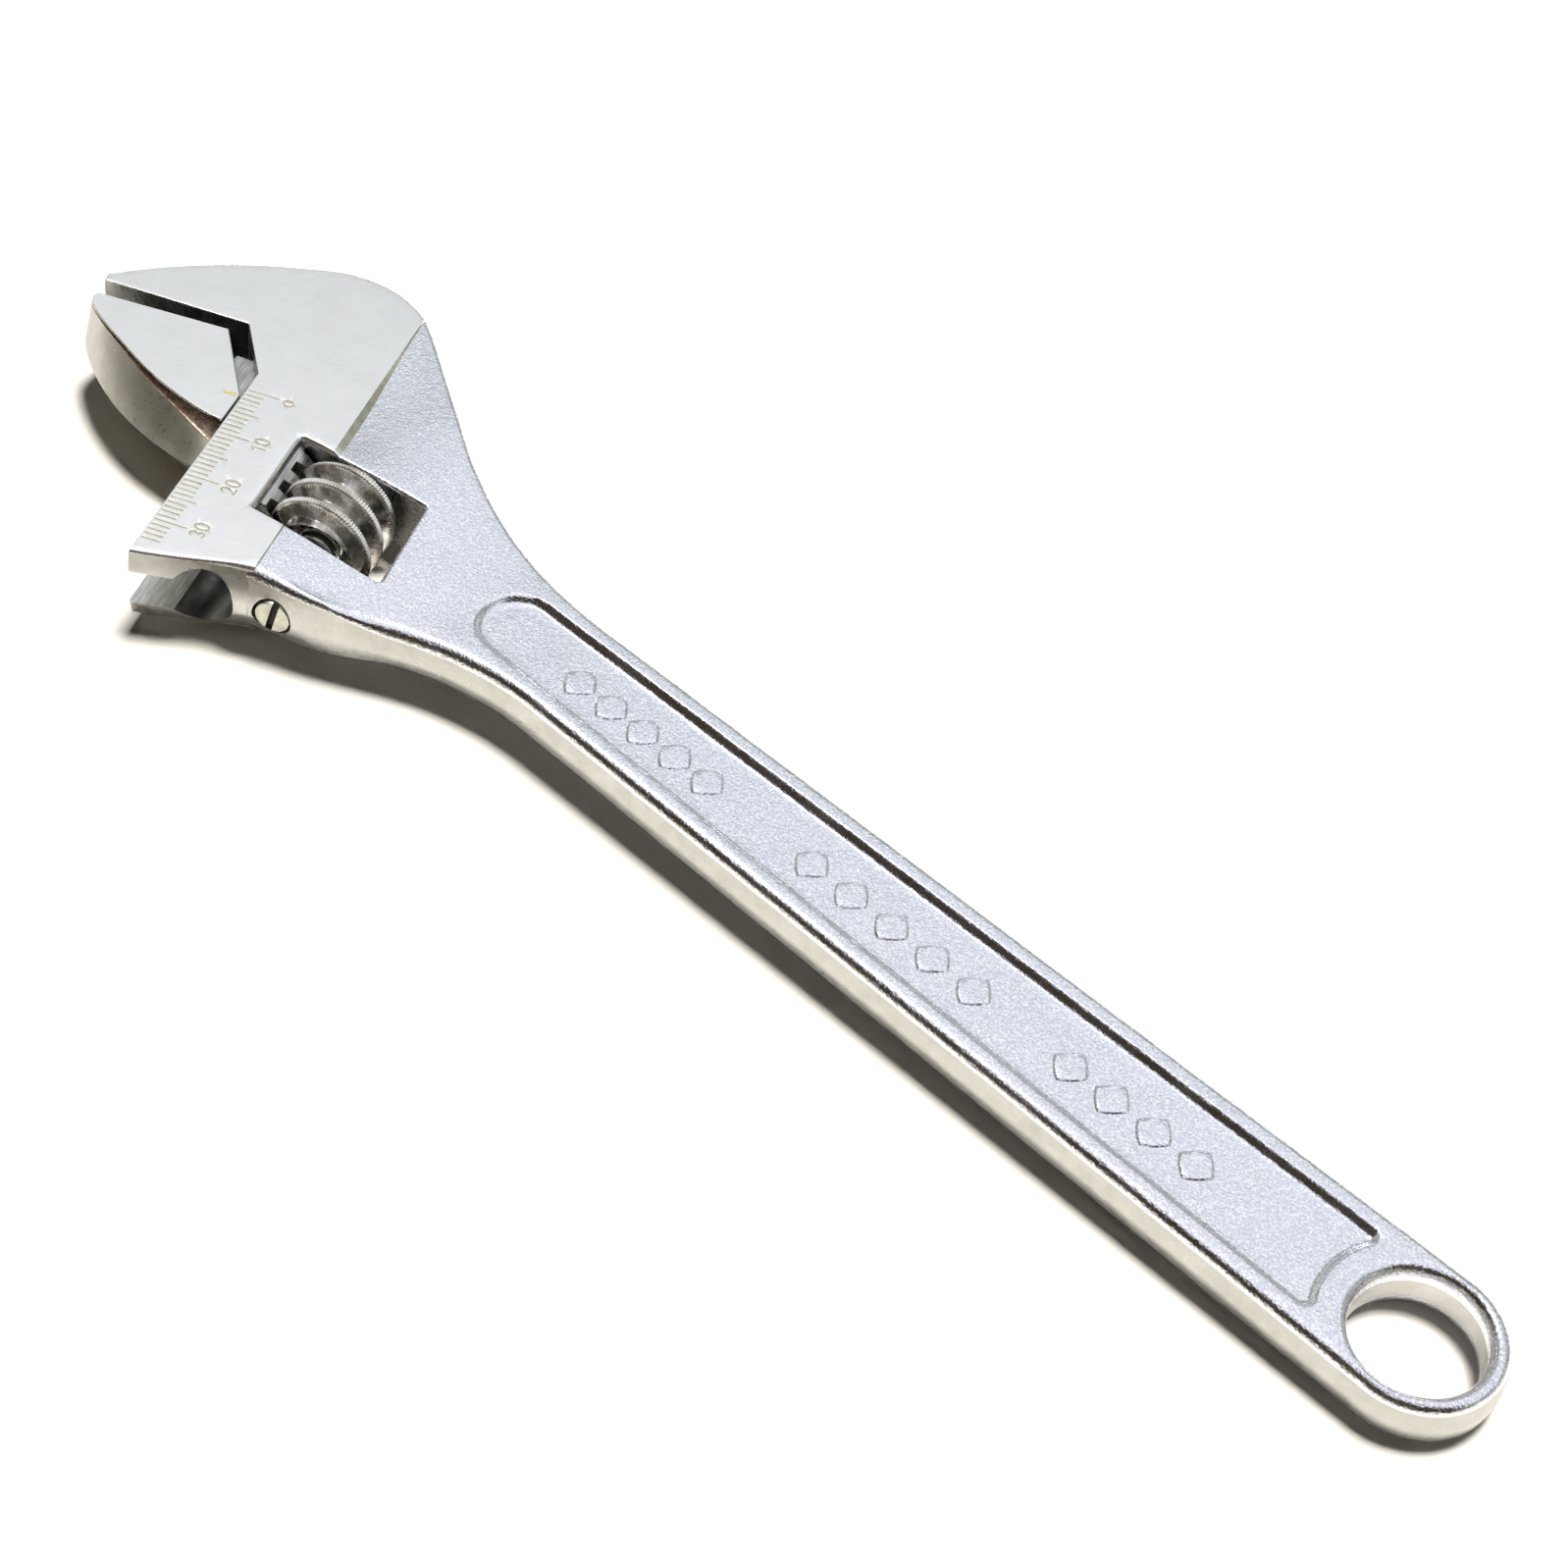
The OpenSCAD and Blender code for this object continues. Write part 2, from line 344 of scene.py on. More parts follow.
def boolean(obj, other, operation):
    """Cuts other away from obj, joins it on or keeps what they share, and removes other."""
    m = obj.modifiers.new("cut", "BOOLEAN")
    m.operation, m.object, m.solver = operation, other, "EXACT"
    dg = bpy.context.evaluated_depsgraph_get()
    mesh = bpy.data.meshes.new_from_object(obj.evaluated_get(dg))
    obj.modifiers.clear()
    old = obj.data
    obj.data = mesh
    bpy.data.meshes.remove(old)
    bpy.data.objects.remove(other)


def add_materials(obj, *mats):
    """Gives obj these materials, in this order."""
    for m in mats:
        obj.data.materials.append(m)


def tube_faces(rings, n, closed=False, caps=True):
    """Faces between rings of n points each, then a cap at both ends unless the last ring joins the first."""
    faces = []
    for a in range(rings if closed else rings - 1):
        b = (a + 1) % rings
        for j in range(n):
            k = (j + 1) % n
            faces.append((a * n + j, a * n + k, b * n + k, b * n + j))
    if caps and not closed:
        faces += [tuple(range(n)), tuple((rings - 1) * n + j for j in range(n))]
    return faces


def lathe(profile, origin_u, sides=96, closed=False):
    """Points and faces of a turned shape about an axis along v at depth origin_u. profile: (radius, v)."""
    verts = []
    for r, v in profile:
        for j in range(sides):
            a = 2 * math.pi * j / sides
            verts.append((*head(origin_u + r * math.cos(a), v), r * math.sin(a)))
    return verts, tube_faces(len(profile), sides, closed)


def prism(points, z0, z1):
    """A straight solid on a plan outline of (x, y) points."""
    verts = [(p[0], p[1], z) for z in (z0, z1) for p in points]
    return verts, tube_faces(2, len(points))


def inside(points, loop):
    """Which points lie inside a closed loop."""
    px, py = points[:, 0][:, None], points[:, 1][:, None]
    x0, y0 = loop[:, 0], loop[:, 1]
    x1, y1 = np.roll(x0, -1), np.roll(y0, -1)
    crosses = (y0 > py) != (y1 > py)
    with np.errstate(divide="ignore", invalid="ignore"):
        at = x0 + (py - y0) * (x1 - x0) / (y1 - y0)
    return (np.sum(crosses & (px < at), axis=1) % 2) == 1


# ---- The handle's recessed panel and its relief ----

BOSS_R = 12.2
PANEL_END = 159.0
PANEL_HALF = (8.25, 6.2)
PANEL_DEPTH = 1.0
# The recess wall in section: how far in, and how deep as a share of the whole
PANEL_WALL = ((0.0, 0.0), (0.25, 0.06), (0.55, 0.34), (0.85, 0.70), (1.15, 0.92), (1.5, 1.0))


def panel_loop(inset):
    """The recess's outline: concave round the hole's boss, straight sides, round far end."""
    def half(x):
        """The recess's half width at x."""
        return PANEL_HALF[0] + (PANEL_HALF[1] - PANEL_HALF[0]) * x / PANEL_END - inset
    fillet = max(1.8 - inset, 0.5)
    boss = BOSS_R + inset
    y = half(10) - fillet
    cx = math.sqrt((boss + fillet) ** 2 - y ** 2)
    touch = math.atan2(y, cx)
    end_r = max(half(PANEL_END) - 0.02, 1)
    upper = []
    for a in np.linspace(0, touch, 14):
        upper.append((boss * math.cos(a), boss * math.sin(a)))
    for a in np.linspace(touch + math.pi, math.pi / 2, 9)[1:]:
        upper.append((cx + fillet * math.cos(a), y + fillet * math.sin(a)))
    straight_end = PANEL_END - inset - end_r
    for x in np.linspace(cx, straight_end, 76)[1:]:
        upper.append((x, half(x)))
    r = half(straight_end)
    for a in np.linspace(math.pi / 2, 0, 16)[1:]:
        upper.append((straight_end + end_r * math.cos(a), r * math.sin(a)))
    lower = [(x, -yy) for x, yy in upper[1:-1]]
    return np.array(upper[::-1] + lower)


# Raised lozenges stand where the real handle has raised words: (first x, last x, count)
RELIEF_ZONES = ((33, 53, 4), (69, 97, 5), (116, 140, 5))
RELIEF_Y = 0.6
RELIEF_HALF = (2.7, 2.9)
RELIEF_POWER = 1.25
RELIEF_HEIGHT = 0.28
# A lozenge's wall in section: share of its full size, and share of its height
RELIEF_WALL = ((1.0, 0.0), (0.95, 0.3), (0.87, 0.85), (0.80, 1.0))


def lozenge(x, share):
    """A soft-cornered diamond at x, at a share of its full size."""
    pts = []
    for a in np.linspace(0, 2 * math.pi, 24, endpoint=False):
        c, s = math.cos(a), math.sin(a)
        k = share / (abs(c) ** RELIEF_POWER + abs(s) ** RELIEF_POWER) ** (1 / RELIEF_POWER)
        pts.append((x + RELIEF_HALF[0] * k * c, RELIEF_Y + RELIEF_HALF[1] * k * s))
    return np.array(pts)


# ---- The millimetre scale ----

TICK_HALF = 0.13
TICK_START_U = -0.42
TICK_DEPTH = 0.03
# Strokes of the digits in a cell 1 wide (reading direction) and 1 high
DIGITS = {
    "0": [[(0.5 + 0.5 * math.cos(a), 0.5 + 0.5 * math.sin(a)) for a in np.linspace(0, 2 * math.pi, 17)]],
    "1": [[(0.10, 0.74), (0.31, 0.86)], [(0.55, 1.0), (0.55, 0.0)]],
    "2": [[(0.06, 0.76), (0.2, 0.94), (0.5, 1.0), (0.82, 0.92), (0.93, 0.72), (0.82, 0.5), (0.45, 0.24),
           (0.05, 0.0)],
          [(0.2, 0.0), (0.98, 0.0)]],
    "3": [[(0.06, 0.84), (0.3, 0.99), (0.6, 1.0), (0.86, 0.86), (0.86, 0.66), (0.62, 0.55)],
          [(0.5, 0.45), (0.82, 0.4), (0.95, 0.22), (0.8, 0.05), (0.45, 0.0), (0.05, 0.12)]],
}
DIGIT_U = -7.95
DIGIT_HIGH = 2.1
DIGIT_WIDE = 1.15
DIGIT_GAP = 0.42
# The scale's numbers, and where the middle of each stands
NUMBERS = (("0", 0.25), ("10", 10.1), ("20", 19.8), ("30", 29.6))


def stroke_band(points, half):
    """A groove along a stroke: its outline, and the middle line that lies at its bottom."""
    p = np.array(points, float)
    closed = np.linalg.norm(p[0] - p[-1]) < 1e-6
    if closed:
        p = p[:-1]
        t = [unit(np.roll(p, -1, 0)[i] - np.roll(p, 1, 0)[i]) for i in range(len(p))]
    else:
        t = [unit(p[min(i + 1, len(p) - 1)] - p[max(i - 1, 0)]) for i in range(len(p))]
    side = np.array([(-d[1], d[0]) for d in t]) * half
    if closed:
        return [p + side, p - side], p, True
    cap0, cap1 = p[0] - t[0] * half, p[-1] + t[-1] * half
    outline = np.vstack([[cap0], p - side, [cap1], (p + side)[::-1]])
    return [outline], p, False


def scale_strokes():
    """The scale's lines and numbers as strokes in the plan."""
    strokes = []
    for i in range(35):
        length = 5.1 if i % 10 == 0 else 4.1 if i % 5 == 0 else 3.1
        strokes.append([head(TICK_START_U, i), head(-length, i)])
    for text, v in NUMBERS:
        low, high = (0.2, 0.75) if text == "0" else (0.0, 1.0)
        pitch = DIGIT_WIDE + DIGIT_GAP
        for k, digit in enumerate(text):
            left = v + (len(text) * pitch - DIGIT_GAP) / 2 - k * pitch
            for stroke in DIGITS[digit]:
                strokes.append([head(DIGIT_U + DIGIT_HIGH * (low + high * y), left - DIGIT_WIDE * x)
                                for x, y in stroke])
    return strokes


# Material indices, in the order in which main() hands the metals out
# The wall, step, bore and band materials are darker copies of the metals: painted shade.
FORGED, MACHINED, SHADED_WALL, CUT, INK, SHADED_STEP, SHADED_BORE, SHADED_BAND = range(8)
# Spacing of the inner points, their least distance from an outline, and spacing along the step's lines
GRID_STEP = 1.9
GRID_CLEAR = 0.55
STEP_SPACING = 1.2


def snapped_in_order(outline):
    """The outline's crossings with the step, sorted along the step."""
    return sorted(outline["snapped"], key=lambda s: to_head(outline["loop"][s[0]])[1])


def body_face_cdt(rim, window, hole, with_scale):
    """One face of the body, triangulated between all of its outlines. Returns points, faces and materials."""
    pts, depth, edges, groove = [], [], [], set()

    def add_points(loop, drop):
        """Adds loose points that lie drop below the face."""
        first = len(pts)
        pts.extend(loop)
        depth.extend([drop] * len(loop))
        return first

    def add_loop(loop, drop, closed=True):
        """Adds a line of points and the edges between them."""
        first = add_points(loop, drop)
        n = len(loop)
        edges.extend((first + i, first + (i + 1) % n) for i in range(n if closed else n - 1))
        return first

    rim_loop, window_loop = rim["loop"], window["loop"]
    add_loop(rim_loop, 0)
    window_first = add_loop(window_loop, 0)
    add_loop(hole, 0)
    for inset, share in PANEL_WALL:
        add_loop(panel_loop(inset), PANEL_DEPTH * share)
    floor_loop, mouth_loop = panel_loop(PANEL_WALL[-1][0]), panel_loop(0)
    reliefs = []
    for x0, x1, count in RELIEF_ZONES:
        for x in np.linspace(x0, x1, count):
            reliefs.append(lozenge(x, 1.0))
            for share, rise in RELIEF_WALL:
                add_loop(lozenge(x, share), PANEL_DEPTH - RELIEF_HEIGHT * rise)
    for foot in (0, 1):
        for rim_pair, window_pair in zip(snapped_in_order(rim), snapped_in_order(window)):
            a, b = rim_pair[foot], window_pair[foot]
            va, vb = to_head(rim_loop[a])[1], to_head(window_loop[b])[1]
            m = max(2, int(abs(vb - va) / STEP_SPACING))
            chain = [a]
            for k in range(1, m):
                v = va + (vb - va) * k / m
                chain.append(add_points([head(STEP_U - foot * step_width(v), v)], 0))
            chain.append(window_first + b)
            edges.extend(zip(chain[:-1], chain[1:]))
    for stroke in scale_strokes() if with_scale else []:
        loops, middle, closed = stroke_band(stroke, TICK_HALF)
        for loop in loops:
            add_loop(loop, 0)
        first = add_loop(middle, TICK_DEPTH, closed)
        groove.update(range(first, first + len(middle)))
    grid = interior_points(pts, rim_loop, window_loop, hole, floor_loop, mouth_loop, reliefs)
    in_floor = inside(grid, floor_loop)
    for p, deep in zip(grid, in_floor):
        add_points([p], PANEL_DEPTH if deep else 0)
    made = delaunay_2d_cdt([Vector(p) for p in pts], edges, [], 0, 1e-5, True)
    out, tris, origins = np.array([tuple(v) for v in made[0]]), made[2], made[3]
    centre = np.array([out[list(t)].mean(0) for t in tris])
    keep = inside(centre, rim_loop) & ~inside(centre, window_loop) & ~inside(centre, hole)
    drop, is_groove = np.zeros(len(out)), np.zeros(len(out), bool)
    new_in_floor = inside(out, floor_loop)
    for i, o in enumerate(origins):
        drop[i] = max(depth[k] for k in o) if o else (PANEL_DEPTH if new_in_floor[i] else 0)
        is_groove[i] = any(k in groove for k in o) if o else False
    z = np.array([top_height(p) for p in out]) - drop
    faces, mats = [], []
    for t, c, k in zip(tris, centre, keep):
        if not k:
            continue
        faces.append(tuple(t))
        # The sloping step's faces take the darker band chrome, a painted shade.
        plain = MACHINED if step_gap(c) > 0 else SHADED_BAND if step_foot_gap(c) > 0 else FORGED
        mats.append(INK if any(is_groove[i] for i in t) else plain)
    return np.column_stack([out, z]), faces, mats


def interior_points(loops, rim, window, hole, floor_loop, mouth_loop, reliefs):
    """A staggered grid between the outlines, kept clear of every outline's points."""
    lo, hi = rim.min(0), rim.max(0)
    rows = np.arange(lo[1], hi[1], GRID_STEP * 0.87)
    grid = []
    for k, y in enumerate(rows):
        xs = np.arange(lo[0] + (k % 2) * GRID_STEP / 2, hi[0], GRID_STEP)
        grid.append(np.column_stack([xs, np.full(len(xs), y)]))
    grid = np.vstack(grid)
    keep = inside(grid, rim) & ~inside(grid, window) & ~inside(grid, hole)
    keep &= ~(inside(grid, mouth_loop) & ~inside(grid, floor_loop))
    for r in reliefs:
        keep &= ~inside(grid, r)
    grid = grid[keep]
    fixed = np.array(loops)
    near = np.array([np.min(np.sum((fixed - p) ** 2, axis=1)) for p in grid])
    return grid[near > GRID_CLEAR ** 2]


# How the lean grows towards the rim, and the wall's usual height
LEAN_POWER, LEAN_HEIGHT = 1.4, 4.6
# A wall's rings: shares of its height, and then the steps of its rim
WALL_SHARES = (0, 0.3, 0.62, 1.0)
RIM_STEPS = 5
HOLE_RIM, HOLE_SPREAD = 2.2, 1.25


def rim_rings(outline, lean, rim_r, sign, near_lean=False):
    """The rings of half a wall, from mid-plane to face, and each one's height share and rise in the rim."""
    rings, how = [], []
    start = [math.atan(LEAN_POWER * a / LEAN_HEIGHT) for a in lean]
    first_rise = outline.spread([math.sin(a) for a in start])
    for share in WALL_SHARES:
        insets = [sign * a * share ** LEAN_POWER for a in lean]
        rings.append(outline.at(insets))
        how.append((share, first_rise))
    for k in range(1, RIM_STEPS + 1):
        turn = [a + (math.pi / 2 - a) * k / RIM_STEPS for a in start]
        insets = [sign * (b + r * (math.cos(a) - math.cos(t)))
                  for b, r, a, t in zip(lean, rim_r, start, turn)]
        rings.append(outline.at(insets))
        how.append((1.0, outline.spread([math.sin(t) for t in turn])))
    if near_lean:
        for ring, (share, _) in zip(rings, how):
            lean_near_kink(ring, share)
            roughen(ring)
    return rings, how


def lean_near_kink(ring, share):
    """The near wall's top edge is drawn in where the machined head meets the forged neck."""
    for i, p in enumerate(ring):
        u, v = to_head(p)
        if v > 28 and u < -0.5:
            reach = 16 if u > STEP_U else 9
            pull = 0.8 * smooth(1 - abs(u - STEP_U) / reach) * share ** 2
            ring[i] = p - V_DIR * pull


def roughen(ring):
    """The forged walls are a little uneven."""
    n = len(ring)
    normal = np.roll(ring, -1, 0) - np.roll(ring, 1, 0)
    for i in range(n):
        u, _ = to_head(ring[i])
        amount = 0.05 * smooth((STEP_U - u) / 3)
        if amount > 0 and np.linalg.norm(normal[i]) > 1e-9:
            d = unit(normal[i])
            ring[i] = ring[i] + np.array([-d[1], d[0]]) * amount * ripple(ring[i], 3.5, 9.2)


def wall_levels(rings, how, rim_r):
    """A wall's rings in space, from mid-plane to face."""
    top = np.array([top_height(p) for p in rings[-1]])
    wall_top = np.array([wall_height(p) for p in rings[-1]])
    first = how[len(WALL_SHARES) - 1][1]
    levels = []
    for ring, (share, rise) in zip(rings, how):
        wall = (wall_top - rim_r + rim_r * first) * share
        rim = (rim_r + (top - wall_top) / (1 - first)) * (rise - first)
        levels.append(np.column_stack([ring, wall + rim]))
    return levels


def hole_rings():
    """The hanging hole's rings and their heights: a straight wall with a wide, soft rim."""
    turn = np.linspace(0, 2 * math.pi, 72, endpoint=False)
    circle = np.column_stack([np.cos(turn), np.sin(turn)])
    rings = [circle * HOLE_R] * len(WALL_SHARES)
    how = [(share, 0) for share in WALL_SHARES]
    for k in range(1, RIM_STEPS + 1):
        a = math.pi / 2 * k / RIM_STEPS
        rings.append(circle * (HOLE_R + HOLE_SPREAD * (1 - math.cos(a))))
        how.append((1, math.sin(a)))
    return rings, how


def body_mesh():
    """The body before its bores are cut: two faces, the outer wall, the window's wall and the hole's wall."""
    verts, faces, mats = [], [], []

    def add(vs, fs, ms):
        """Adds a stretch of surface."""
        base = len(verts)
        verts.extend(vs)
        faces.extend(tuple(base + i for i in f) for f in fs)
        mats.extend(ms)

    outer, outer_how = rim_rings(BODY_OUTLINE, WALL_LEAN, RIM_R, 1, near_lean=True)
    outer_snaps = snap_columns(outer, step_gap, step_foot_gap)
    window, window_how = rim_rings(WINDOW_OUTLINE, [0] * 4, WINDOW_RIM, -1)
    window_snaps = snap_columns(window, step_gap, step_foot_gap)
    hole, hole_how = hole_rings()
    sheer = BODY_OUTLINE.spread(SHEER)
    # Walls take the darker wall chrome, a painted shade; milled sides take the dark bore steel, a painted
    # shade of the gap between the jaws.
    stacks = (
        (outer, outer_how, BODY_OUTLINE.spread(RIM_R), [SHADED_BORE if milled > 0.5 else SHADED_WALL for milled in sheer]),
        (window, window_how, WINDOW_OUTLINE.spread(WINDOW_RIM), [CUT] * len(window[0])),
        (hole, hole_how, np.full(len(hole[0]), HOLE_RIM), [SHADED_WALL] * len(hole[0])),
    )
    for rings, how, rim_r, wall_mats in stacks:
        levels = wall_levels(rings, how, rim_r)
        column = [level * UPSIDE_DOWN for level in levels[:0:-1]] + levels
        rim_mats = [MACHINED if step_gap(p) >= -0.2 else FORGED for p in rings[-1]]
        bands = len(column) - 1
        ms = []
        for k in range(bands):
            ms += rim_mats if k < RIM_STEPS or k >= bands - RIM_STEPS else wall_mats
        add(np.vstack(column), tube_faces(len(column), len(rings[0]), caps=False), ms)
    rim = {"loop": outer[-1], "snapped": outer_snaps}
    win = {"loop": window[-1], "snapped": window_snaps}
    for side, with_scale in ((1, True), (-1, False)):
        vs, fs, ms = body_face_cdt(rim, win, hole[-1], with_scale)
        add(vs * np.array([1, 1, side]), fs, ms)
    return verts, faces, mats


def carve(obj, mats, shape, mat=CUT, operation="DIFFERENCE"):
    """Cuts a shape away from obj, or joins it on, with one material on all of its faces."""
    verts, faces = shape
    other = new_piece("carver", verts, faces, [mat] * len(faces))
    add_materials(other, *mats)
    boolean(obj, other, operation)


def build_body(mats):
    """The forging, with its bore, slot, pin bore and punch marks."""
    obj = new_piece("forged_body", *body_mesh())
    add_materials(obj, *mats)
    slot = [head(*p) for p in ((BORE_U, -12.4), (20, -12.4), (20, 60), (BORE_U, 60))]
    pin_bore = [(2.42, 2.0), (2.42, 31.5), (2.95, 31.5), (2.95, 36.0), (3.1, 60)]
    # The bore takes the dark bore steel, a painted shade inside it.
    carve(obj, mats, lathe([(BORE_R, -16.5), (BORE_R, 60)], BORE_U, 120), SHADED_BORE)
    carve(obj, mats, prism(slot, -SLOT_HALF, SLOT_HALF))
    carve(obj, mats, lathe(pin_bore, WORM_U, 72))
    carve(obj, mats, stake_marks())
    tidy_mesh(obj, 30)
    weigh_normals(obj)
    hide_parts("body")
    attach(obj, "handle")
    return obj


def weigh_normals(obj):
    """Keeps flat faces flat where they meet rounded rims."""
    m = obj.modifiers.new("shading", "WEIGHTED_NORMAL")
    m.keep_sharp = True
    m.weight = 60


def pin_slot_box(half_long, half_wide, v0, v1, shift=0.0):
    """A box in line with the pin's slot, from v0 to v1."""
    verts = []
    for v in (v0, v1):
        for a, b in ((-1, -1), (1, -1), (1, 1), (-1, 1)):
            along, across = shift + a * half_long, b * half_wide
            du = across * math.cos(PIN_TURN) + along * math.sin(PIN_TURN)
            dz = -across * math.sin(PIN_TURN) + along * math.cos(PIN_TURN)
            x, y = head(WORM_U + du, v)
            verts.append((x, y, dz))
    return verts, tube_faces(2, 4)


def stake_marks():
    """The punch marks at both ends of the pin's slot, which lock it in the body."""
    verts, faces = pin_slot_box(0.75, 0.45, 35.2, 40, -3.45)
    more, _ = pin_slot_box(0.75, 0.45, 35.2, 40, 3.45)
    return verts + more, faces + [tuple(i + 8 for i in f) for f in faces]


# ---- Moving jaw ----

JAW_TOP = 6.0
HEEL = (8.0, -11.3)
JAW_TIP_V = -10.57
JAW_EDGE_U = 0.3
WEB_HALF = 2.7
RAIL_R = 4.65
RAIL_V = (-13.0, 20.0)
RAIL_CHAMFER = 0.6
RACK_GROOVES = 8
# The flat face's back edge and the flank's widest line, from the slot side to the tip, at matching points
FACE_BACK = ((0.3, 7.55), (3.2, 6.95), (6.5, 5.85), (11.1, 3.9), (15.5, 1.5), (19.7, -1.3), (23.9, -4.2),
             (26.7, -6.4), (28.3, -8.0), (28.95, -9.4))
FLANK_BACK = ((0.3, 12.0), (2.9, 12.05), (6.1, 11.4), (11.8, 9.1), (16.9, 6.2), (21.6, 2.5), (24.7, -0.6),
              (27.3, -3.7), (28.95, -6.4), (29.5, -9.1))
# The flank in section has a step under the flat face, which dies away towards the tip, and then a steep side.
# Each level: which part it is on, and how far along that part
STEP_PART, SIDE_PART = 0, 1
FLANK_LEVELS = ([(STEP_PART, t) for t in (0, 0.08, 0.3, 0.55, 0.8, 0.94)]
                + [(SIDE_PART, t) for t in (0, 0.06, 0.2, 0.36, 0.52, 0.66, 0.78, 0.88, 0.95, 1.0)])
STEP_SHARE = (0.68, 0.05)
STEP_DROP = (0.34, 0.03)
STEP_FADE = 3.5
BACK_COUNT = 40


def flank_at(level, along):
    """Share of the way out, and height as a share of the half thickness, from slot side (0) to tip (1)."""
    part, t = level
    fade = (1 - along) ** STEP_FADE
    reach = STEP_SHARE[1] + (STEP_SHARE[0] - STEP_SHARE[1]) * fade
    drop = STEP_DROP[1] + (STEP_DROP[0] - STEP_DROP[1]) * fade
    if part == STEP_PART:
        return reach * t, 1 - drop * (1 - (1 - t) ** 1.25)
    out = math.sin(math.pi / 2 * t) * 0.12 + t * 0.88
    return reach + (1 - reach) * out, (1 - drop) * (1 - t)


def through(points, count):
    """A smooth line through the points, at evenly spread parameters."""
    p = np.array(points, float)
    out = []
    for s in np.linspace(0, len(p) - 1, count):
        i = min(int(s), len(p) - 2)
        f = s - i
        a, b = p[i], p[i + 1]
        prev = p[i - 1] if i > 0 else 2 * a - b
        nxt = p[i + 2] if i + 2 < len(p) else 2 * b - a
        bend, twist = 2 * prev - 5 * a + 4 * b - nxt, 3 * a - prev - 3 * b + nxt
        out.append(0.5 * ((2 * a) + (b - prev) * f + bend * f * f + twist * f ** 3))
    return np.array(out)


def jaw_ring(level, inset):
    """The jaw's outline at one level, counter-clockwise, with the height of each point as a share."""
    shares, heights = np.array([flank_at(level, i / (BACK_COUNT - 1)) for i in range(BACK_COUNT)]).T
    share = shares[0]
    front, wide = through(FACE_BACK, BACK_COUNT), through(FLANK_BACK, BACK_COUNT)
    back = front + (wide - front) * shares[:, None]
    tangent = np.gradient(back, axis=0)
    normal = np.array([unit(np.array([t[1], -t[0]])) for t in tangent])
    back = back + normal * inset
    back[:, 0] = np.maximum(back[:, 0], JAW_EDGE_U + inset)
    lean = math.atan2(JAW_TIP_V - HEEL[1], TIP_U - HEEL[0])
    face_in = np.array([-math.sin(lean), math.cos(lean)]) * inset
    heel = np.array(HEEL) + face_in + np.array([inset * 0.9, 0])
    face_end = np.array([TIP_U - 0.4 + 0.25 * share, JAW_TIP_V - 0.02]) + face_in
    face = [heel + (face_end - heel) * k / 18 for k in range(19)]
    face[-1] = face[-1] - np.array([inset * 0.6 + 0.1, 0])
    tip_a, tip_b = face[-1], back[-1] - np.array([inset * 0.4, 0])
    tip = [tip_a + (tip_b - tip_a) * k / 3 for k in (1, 2)]
    slant_top = np.array([JAW_EDGE_U + inset, 1.4 + inset * 0.3])
    slant = [slant_top + (heel - slant_top) * k / 9 for k in range(1, 9)]
    edge = [back[0] + (slant_top - back[0]) * k / 6 for k in range(1, 7)]
    rest = edge + slant + face + tip
    fade = np.linspace(heights[0], heights[-1], len(rest))
    return np.array(list(back[::-1]) + rest), np.concatenate([heights[::-1], fade])


def jaw_head_mesh():
    """The jaw without its web and rail: a stack of outlines from the upper face to the lower one."""
    levels = []
    for inset, z in ((0.22, JAW_TOP), (0.13, JAW_TOP - 0.04), (0.05, JAW_TOP - 0.11)):
        ring, _ = jaw_ring(FLANK_LEVELS[0], inset)
        levels.append(np.column_stack([ring, np.full(len(ring), z)]))
    for level in FLANK_LEVELS:
        ring, share = jaw_ring(level, 0)
        levels.append(np.column_stack([ring, (JAW_TOP - 0.22) * share]))
    stack = levels + [ring * UPSIDE_DOWN for ring in levels[-2::-1]]
    n = len(stack[0])
    verts, mats = [], []
    for ring in stack:
        for i, (u, v, z) in enumerate(ring):
            forged = smooth((1 - abs(z) / JAW_TOP) * 5) if i < BACK_COUNT else 0
            x, y = head(u, v + 0.025 * forged * ripple((u + z, v), 4.5, 3.0))
            verts.append((x, y, z))
    last = len(stack) - 1
    step_end = 3 + sum(part == STEP_PART for part, _ in FLANK_LEVELS)
    # The flank's step takes the dark step chrome and its side the darker wall chrome: painted shade.
    for k in range(last):
        rim = k < 3 or k >= last - 3
        step = k < step_end or k >= last - step_end
        for i in range(n):
            flank = i < BACK_COUNT - 1
            mats.append(MACHINED if rim else SHADED_STEP if flank and step else SHADED_WALL if flank else CUT)
    return verts, tube_faces(len(stack), n), mats + [MACHINED, MACHINED]


def rack_cutter(middle_v):
    """One groove of the rack: a slanted trapezoid that leans with the worm's thread."""
    lean = math.atan(PITCH / (math.pi * (WORM_R + WORM_ROOT)))
    profile = ((-12.0, 1.0), (-15.2, 1.62), (-15.2, -1.62), (-12.0, -1.0))
    verts = []
    for z in (-8, 8):
        for u, dv in profile:
            x, y = head(u, middle_v + dv + z * math.tan(lean))
            verts.append((x, y, z))
    return verts, tube_faces(2, 4)


